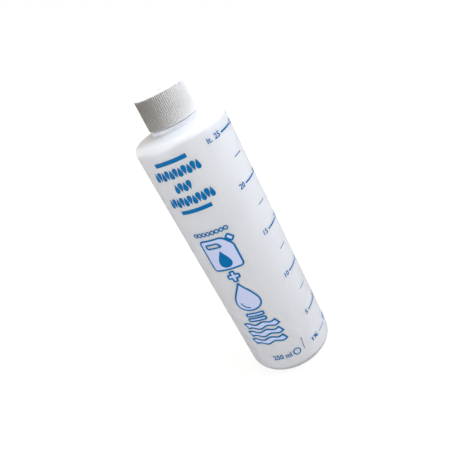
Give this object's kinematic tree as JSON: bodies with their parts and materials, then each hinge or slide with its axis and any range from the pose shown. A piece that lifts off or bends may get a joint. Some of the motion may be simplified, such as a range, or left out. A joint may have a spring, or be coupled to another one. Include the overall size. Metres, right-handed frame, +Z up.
{
  "type": "oil measuring bottle",
  "caption": "Slim round translucent oil measuring bottle with a printed mixing scale, a narrow threaded neck and a ribbed screw cap with a foam wad.",
  "frame": {"origin": "centre of the ring that the bottle stands on", "axes": "+Z up along the bottle's own axis, -Y towards the printed front, the scale on the +X side of the front"},
  "size_m": [0.05, 0.05, 0.1715],
  "materials": {
    "bottle_plastic": "satin, milky translucent",
    "cap_plastic": "satin, fine upright ribs",
    "wad_foam": "matt foam",
    "print_ink": "screen-printed ink"
  },
  "bodies": {
    "bottle": {"bottle": "bottle_plastic"},
    "wad": {"cap_wad": "wad_foam"},
    "cap": {"screw_cap": "cap_plastic"}
  },
  "joints": [
    {"name": "cap_lift", "type": "slide", "parent": "bottle", "child": "wad", "axis": [0, 0, 1], "range_m": [0, 0.0201]},
    {"name": "cap_turn", "type": "hinge", "parent": "wad", "child": "cap", "pos_m": [0, 0, 0.1555], "axis": [0, 0, 1], "range_deg": [0, 2250]}
  ],
  "couplings": [
    {"joint": "cap_lift", "follows": "cap_turn", "m_per_rad": 0.0005093}
  ]
}
